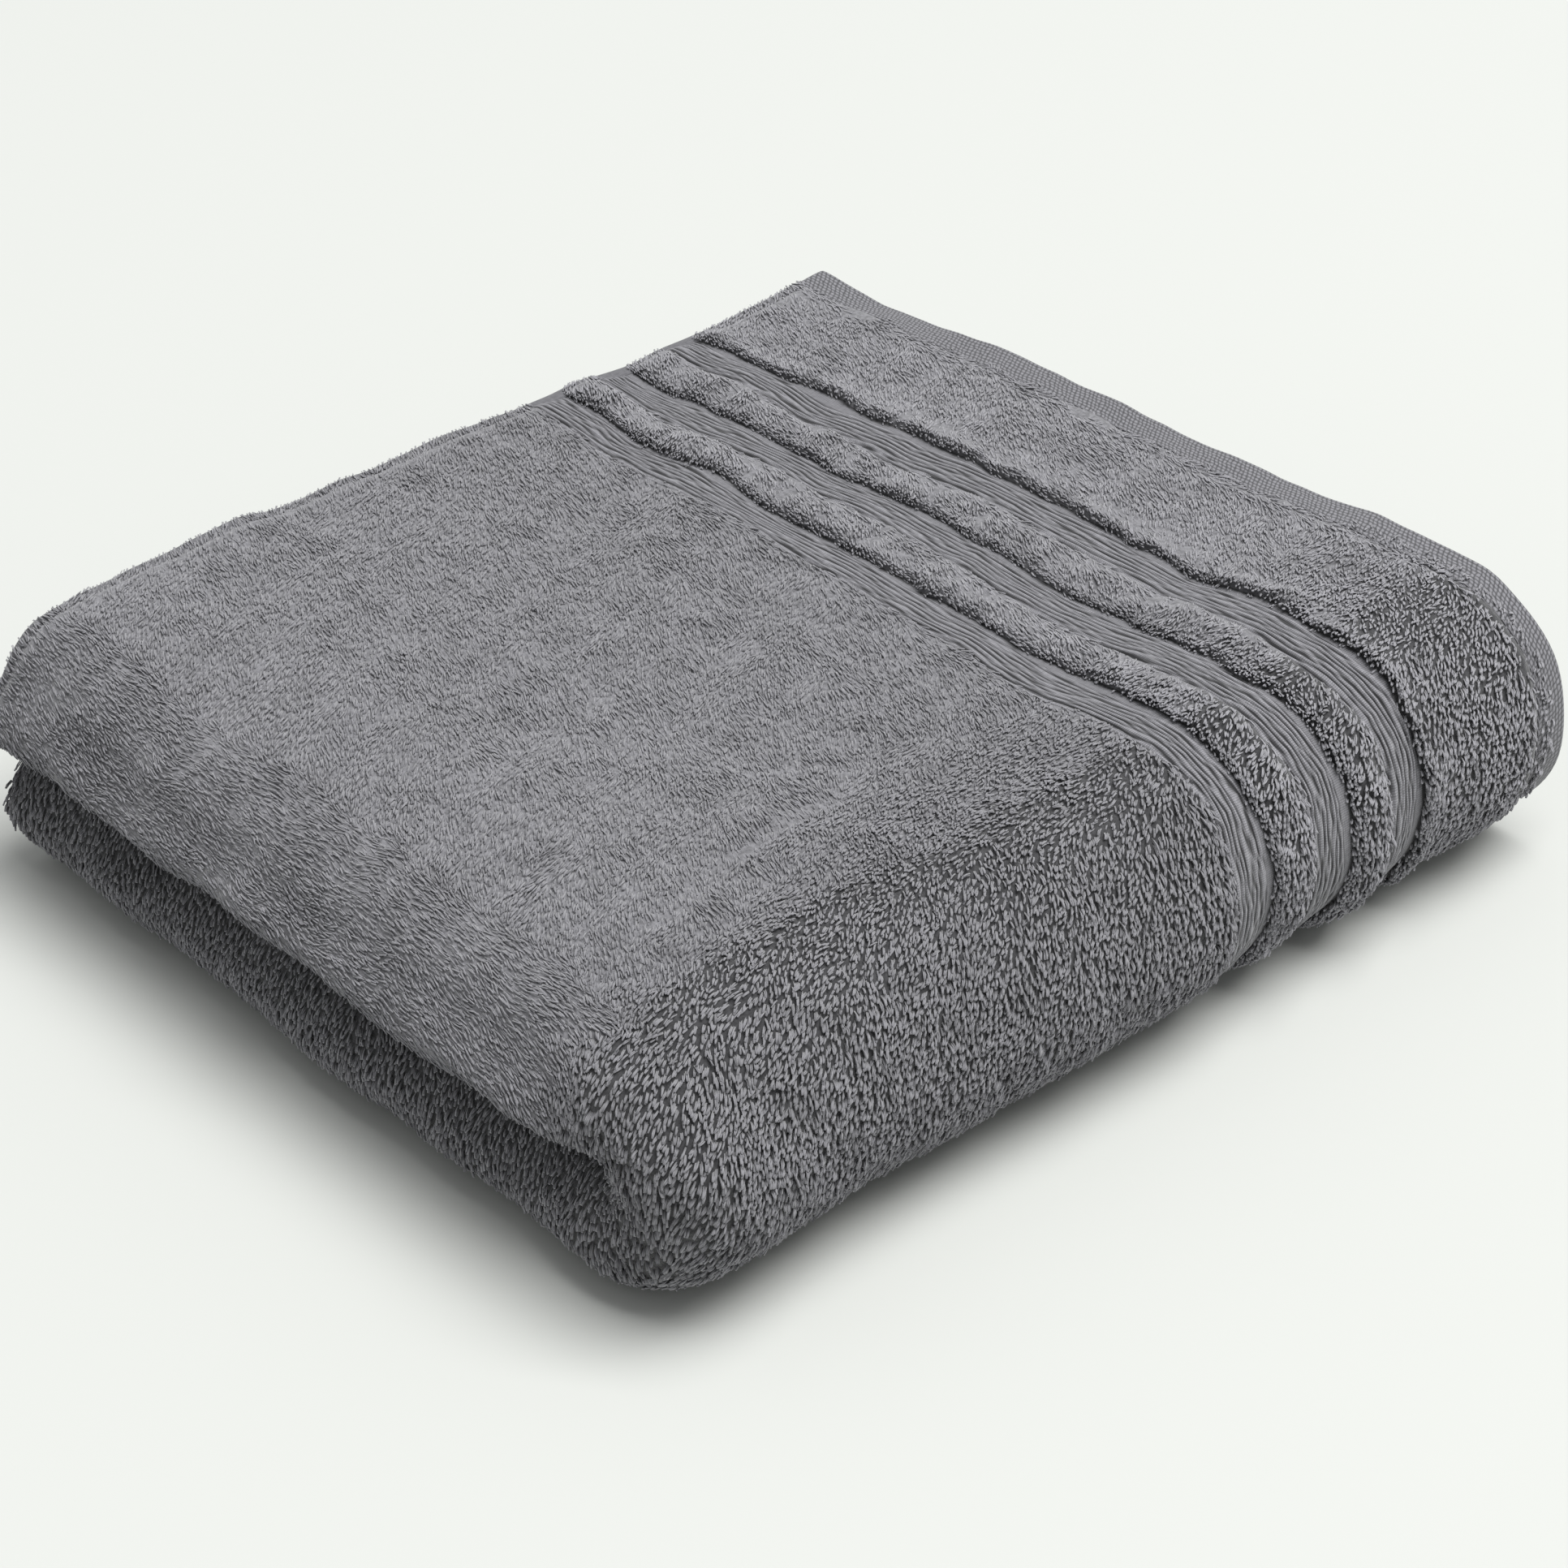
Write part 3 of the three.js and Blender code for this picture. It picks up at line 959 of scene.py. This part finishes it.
def loops(name, roots, seed, nodes=(), material=pile_material):
    """Terry loops, each a hairpin of yarn that leans the way the pile is stroked. roots is a dict of arrays:
    where loops stand (s, across) and on which face, how long they are (long), how far they are pushed along
    the cloth (push) and how far raised from it (stand)."""
    rng = np.random.default_rng(seed)
    s, across, face = roots["s"], roots["across"], roots["face"]
    count = len(s)

    # The cloth under each root once it has settled, and which way it looks there.
    edge = from_side(s, across)
    side_roll = ROLL_HALF * (1 - smooth(SIDE_HEM - 1 * MM, SIDE_HEM + 2 * MM, edge))
    hem_roll = HEM_HALF * (inward(s) < HEM)
    lift = np.maximum.reduce([ground_lift(s, across), side_roll, hem_roll]) - 0.5 * MM
    root = fold(s, across, face * lift)
    settled = settle(root)
    rest_normal, rest_along = facing(s, across) * face[:, None], along(s, across)
    step = 0.2 * MM
    way = settle(root + step * rest_along) - settled
    sideways = settle(root + step * np.cross(rest_normal, rest_along)) - settled
    normal = unit(np.cross(way, sideways))

    # How steep and how coarse the pile is: round the spine, on the lip at the tail and on the flat.
    flat = np.abs(normal[:, 2])
    spine = near_spine(root - CLUMP * clump_tilt(root)[:, None] * np.array([0, 1, 0]))
    lip = smooth(FOLD_X + LIP_REACH, FOLD_X, root[:, 0]) * (root[:, 2] > AXIS_Z) * (face > 0) * (1 - spine)
    steep = np.maximum(1 - flat**2, 0.35 * spine) * (1 - 0.85 * lip)
    coarse = np.maximum((1 - flat**2) * (1 - lip), (0.47 + 0.53 * (1 - flat**2)) * spine)
    kind = {key: FINE[key] + (COARSE[key] - FINE[key]) * coarse for key in FINE}

    # Which way the loops lean.
    between = (face < 0) | (s > WIDE_END)
    hidden = np.where(between, 1 - smooth(SIDE_HEM, SIDE_HEM + HIDDEN_REACH, edge), 0)
    round_spine = spine * (1 + 0.8 * smooth(0, END["outer"], root[:, 0]))
    stroke = STROKE + SPINE_STROKE * round_spine[:, None] + HIDDEN_STROKE * hidden[:, None]
    lean = stroke - (normal * stroke).sum(axis=1)[:, None] * normal
    lean[:, 0] *= 1 - 0.9 * lip
    lean[:, 2] *= 1 - 0.9 * lip
    lean = unit(unit(lean) + unit(way) * roots["push"][:, None])
    side = np.cross(normal, lean)
    turn_by = 0.15 * clump_turn(root) + 0.09 * patch_turn(root) + rng.normal(0, 1, count) * kind["turn"]
    lean = lean * np.cos(turn_by)[:, None] + side * np.sin(turn_by)[:, None]
    tilt = FLAT_TILT + (STEEP_TILT - FLAT_TILT) * steep + 0.03 * clump_tilt(root)
    tilt = np.clip(tilt + rng.normal(0, 0.07, count) * (1 + steep) - 0.5 * roots["stand"], 0.1, 1.55)
    base = settled + normal * ((1 - steep) * rng.uniform(0, 0.8, count) * MM)[:, None]
    axis = normal * np.cos(tilt)[:, None] + lean * np.sin(tilt)[:, None]

    # The loops themselves.
    long = kind["long"] * roots["long"] * (1 + 0.10 * clump_long(root)) * rng.uniform(0.8, 1.2, count)
    wide = rng.uniform(0.75, 1.25, count) * kind["wide"]
    spin = rng.normal(0, 0.7, count)
    twist = rng.uniform(-1.3, 1.3, count)
    centre, plane = yarn_line(base, axis, normal, kind, long, wide, spin, twist)
    points = yarn_skin(centre, plane, kind["yarn"] * rng.uniform(0.85, 1.15, count))
    obj = make_mesh(name, points, loop_faces(count), material)

    # Their shade: painted shade from the root up, random tone in tufts and loop by loop, and painted shade
    # on the flat top, where the light falls most.
    # painted light: the roots of coarse loops round the spine are lighter towards the hem end
    foot = (kind["root"] + 0.25 * coarse * spine * smooth(*HEM_SIDE_PAINTED_LIGHT, root[:, 0]))[:, None]
    shade = foot + (1 - foot) * LOOP_RISE[None, :]
    mottle = (0.13 + 0.14 * coarse) * np.maximum(tuft(root), 0)
    dim = 0.38 * rng.uniform(0, 1, count) ** 4
    shade = shade * (1 - dim - 0.16 * flat**4 * (1 - coarse) - mottle)[:, None]
    store(obj, "shade", np.broadcast_to(shade[:, :, None], (count, RINGS, SIDES)))
    print(name, count, "loops")
    return hold(obj, np.repeat(weights(root), RINGS * SIDES), nodes)


JITTER = 0.42  # how far roots stray from their grid, in pitches
MOST = 6000  # loops in a piece


def scatter(s0, s1, width0, width1, pitch, seed, face=1):
    """Roots a pitch apart from s0 to s1, and from width0 to width1 over the cloth as measured on ply 3.
    They are fewer near the spine on top, and round it on the inner plies, whose way is shorter."""
    rng = np.random.default_rng(seed)
    rows, columns = max(1, round((width1 - width0) / pitch)), max(1, round((s1 - s0) / pitch))
    i, j = np.meshgrid(np.arange(rows), np.arange(columns), indexing="ij")
    width = width0 + (i + 0.5 + rng.uniform(-JITTER, JITTER, i.shape)) * (width1 - width0) / rows
    stagger = 0.25 + 0.5 * (i % 2)
    s = s0 + (j + stagger + rng.uniform(-JITTER, JITTER, i.shape)) * (s1 - s0) / columns
    width, s = width.ravel(), np.clip(s.ravel(), s0, s1)
    across = across_at(width, PLY_3)
    chance = rng.uniform(size=len(s))
    crowd = 1 - 0.1 * near_spine(fold(s, across)) * (across > 1)
    keep = (chance < crowd) & ((across < 0) | (across > 1) | (chance < on_path(s)[1] / PLY_3))
    s, across = s[keep], across[keep]
    none, full = np.zeros(len(s)), np.ones(len(s))
    return {"s": s, "across": across, "face": face * full, "long": full, "push": none, "stand": none}


def only(roots, keep):
    return {key: values[keep] for key, values in roots.items()}


def joined(*all_roots):
    return {key: np.concatenate([roots[key] for roots in all_roots]) for key in all_roots[0]}


def in_pieces(name, roots, seed, nodes=(), material=pile_material):
    """The loops of roots as several pieces, each a stretch of the cloth. The first stands for the nodes."""
    order = np.argsort(roots["s"], kind="stable")
    for k, part in enumerate(np.array_split(order, math.ceil(len(order) / MOST))):
        loops(f"{name}_{k + 1}", only(roots, part), seed + k, nodes if k == 0 else (), material)


FULL_WIDTH = float(width_at(np.array(2.0), PLY_3))
SPINE_WIDTH = (float(width_at(np.array(-0.04), PLY_3)), float(width_at(np.array(1.0), PLY_3)))
FLOOR_EDGE = SPINE_WIDTH[0] - 12 * MM  # from here to the lower side edge the cloth lies on the floor
TOP_PITCH, SPINE_PITCH, FLOOR_PITCH, INSIDE_PITCH = 1.15 * MM, 1.52 * MM, 3.0 * MM, 3.1 * MM
OVER_HEM = 4.5 * MM  # how far single loops reach over the end hem
OVER_HEM_WIDTH = (SPINE_WIDTH[1] + 10 * MM, SPINE_WIDTH[1] + 70 * MM)  # and where they thin out


def zone_roots(start, stop, seed, sharp=True, over_hem=False):
    """Roots for one terry zone of the outer end: a soft start that leans back, and if it is to stop
    sharply two close rows there. over_hem adds loops over the end hem round the spine."""
    first = start - (5 * MM if over_hem else 3 * MM)
    last = stop - 0.1 * MM * sharp
    parts = [
        scatter(first, last, 0, FLOOR_EDGE, FLOOR_PITCH, seed),
        scatter(first, last, FLOOR_EDGE, SPINE_WIDTH[0], TOP_PITCH, seed + 1),
        scatter(first, last, *SPINE_WIDTH, SPINE_PITCH, seed + 2),
        scatter(first, last, SPINE_WIDTH[1], FULL_WIDTH, TOP_PITCH, seed + 3),
    ]
    if over_hem:
        more = scatter(first - OVER_HEM, first, FLOOR_EDGE, OVER_HEM_WIDTH[1], 1.3 * MM, seed + 6)
        bare = smooth(*OVER_HEM_WIDTH, width_at(more["across"], PLY_3)) * OVER_HEM
        uneven = 1.0 * MM * edge_wave(fold(more["s"], more["across"]))
        parts.append(only(more, more["s"] > first - OVER_HEM + bare + uneven))
    if sharp:
        parts.append(scatter(last - 2.4 * MM, last, FLOOR_EDGE, FULL_WIDTH, 1.05 * MM, seed + 4))
        parts.append(scatter(last - 1.3 * MM, last, FLOOR_EDGE, FULL_WIDTH, 0.9 * MM, seed + 7))
    roots = joined(*parts)
    d, wave = roots["s"], edge_wave(fold(roots["s"], roots["across"]))
    chance = np.random.default_rng(seed + 5).uniform(size=len(d))
    reach = 1.5 * MM + 4.0 * MM * wave if over_hem else 1.5 * MM * wave
    grown = np.where(d < first, 0.35, smooth(first, first + 5 * MM, d - reach))
    rim = smooth(stop - 4 * MM, stop - 1.5 * MM, d) * sharp
    push_back = (0.7 + 0.3 * over_hem) * chance * (1 - smooth(start, start + 9 * MM, d))
    roots["push"] = -push_back - 0.1 * rim
    roots["long"] = (0.45 + 0.2 * over_hem + (0.6 - 0.2 * over_hem) * grown) * (1 - 0.25 * rim)
    roots["stand"] = 0.25 * rim
    roots["s"] = d - EDGE_SWAY * wave * smooth(stop - 10 * MM, stop - 3 * MM, d) * sharp
    return only(roots, chance < 0.1 + 1.4 * grown)


for name, seed, loop_seed in (("margin", 101, 111), ("rib_1", 130, 131), ("rib_2", 140, 141)):
    roots = zone_roots(*BORDERS["outer"][f"terry_{name}"], seed, over_hem=name == "margin")
    in_pieces(f"outer_{name}_pile", roots, loop_seed, parts_of(f"outer_terry_{name}"), lit_border_material)

# The field: ply 3, the wide fold at the tail, and the plies inside, which show only along the edges.
field = zone_roots(FIELD, WIDE_START, 150, sharp=False)
tail = joined(
    scatter(WIDE_START, WIDE_END, 0, SPINE_WIDTH[0], 1.5 * MM, 160),
    scatter(WIDE_START, WIDE_END, *SPINE_WIDTH, 1.6 * MM, 161),
    scatter(WIDE_START, WIDE_END, SPINE_WIDTH[1], FULL_WIDTH, TOP_PITCH, 162),
)
inside = joined(
    scatter(TIP_START - 1 * MM, TIP_END, 0, FULL_WIDTH, 1.75 * MM, 173),
    scatter(WIDE_END, TIP_START, 0, SPINE_WIDTH[0], INSIDE_PITCH, 170),
    scatter(WIDE_END, TIP_START, *SPINE_WIDTH, INSIDE_PITCH, 171),
    scatter(WIDE_END, TIP_START, SPINE_WIDTH[1], FULL_WIDTH, INSIDE_PITCH, 172),
)
inside["long"] *= 1.15
EDGE_LOOPS = (SIDE_HEM - 1 * MM, SIDE_HEM + 8 * MM)  # where loops fill the gaps, from a side edge


def edge_roots(width0, width1, seed):
    """Roots along an open side edge, on the faces of the plies that lie against each other."""
    last = LENGTH - HEM - 2 * MM
    both = joined(
        scatter(HEM + 2 * MM, last, width0, width1, 2.0 * MM, seed, -1),
        scatter(TIP_END, last, width0, width1, 2.0 * MM, seed + 1),
    )
    return only(both, pile_share(both["s"], both["across"]) > 0.5)


loops("edge_pile_lower", edge_roots(*EDGE_LOOPS, 180), 291)
loops("edge_pile_upper", edge_roots(FULL_WIDTH - EDGE_LOOPS[1], FULL_WIDTH - EDGE_LOOPS[0], 182), 292)

whole = (("field_pile", field, 200), ("tail_fold_pile", tail, 230), ("inside_pile", inside, 260))
for name, roots, seed in whole:
    lower, upper = roots["across"] < 0, roots["across"] > 1
    in_pieces(f"{name}_lower", only(roots, lower), seed)
    in_pieces(f"{name}_spine", only(roots, ~lower & ~upper), seed + 10)
    in_pieces(f"{name}_upper", only(roots, upper), seed + 20)

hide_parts(*[f"inner_{name}_{part}" for name in ZONES if "terry" in name for part in PARTS])

# ---- floor, light and camera
FLOOR = 6  # half its width
KEY_SIZE, KEY_POWER = 6.8, 1375  # of the one large soft light
KEY_PLACE = Vector((1.6, -2.9, 9.2))
AZIMUTH, ELEVATION, ROLL = math.radians(-41.5), math.radians(34.4), math.radians(-0.6)
DISTANCE, LENS = 1.38, 103.0
TARGET = Vector((-0.0082, -0.0179, 0.0410))


def aim(obj, place, direction, roll=0.0):
    """Puts a light or the camera in its place, looking this way."""
    obj.location = place
    obj.rotation_mode = "QUATERNION"
    obj.rotation_quaternion = direction.to_track_quat("-Z", "Y") @ Quaternion((0, 0, 1), roll)


floor_mesh = bpy.data.meshes.new("floor")
corners = [(-FLOOR, -FLOOR, 0), (FLOOR, -FLOOR, 0), (FLOOR, FLOOR, 0), (-FLOOR, FLOOR, 0)]
floor_mesh.from_pydata(corners, [], [(0, 1, 2, 3)])
floor_mat, _, floor_shader = new_material("floor", sheen=0)
floor_shader.inputs["Base Color"].default_value = (0.54, 0.55, 0.525, 1)
floor_mesh.materials.append(floor_mat)
floor = added("floor", floor_mesh)

bpy.context.scene.view_settings.view_transform = "Standard"
world = bpy.data.worlds.new("studio")
bpy.context.scene.world = world
world.use_nodes = True
sky = world.node_tree.nodes["Background"]
sky.inputs["Color"].default_value = (0.97, 0.985, 1.0, 1)
sky.inputs["Strength"].default_value = 0.50

key = bpy.data.lights.new("key", "AREA")
key.shape, key.size, key.energy = "SQUARE", KEY_SIZE, KEY_POWER
aim(added("key", key), KEY_PLACE, -KEY_PLACE)

camera_data = bpy.data.cameras.new("camera")
camera_data.sensor_width = 36
camera_data.lens = LENS
camera_data.clip_end = 50
camera = added("camera", camera_data)
bpy.context.scene.camera = camera
side, ahead = math.sin(AZIMUTH), math.cos(AZIMUTH)
back = Vector((side * math.cos(ELEVATION), -ahead * math.cos(ELEVATION), math.sin(ELEVATION)))
aim(camera, TARGET + back * DISTANCE, -back, ROLL)
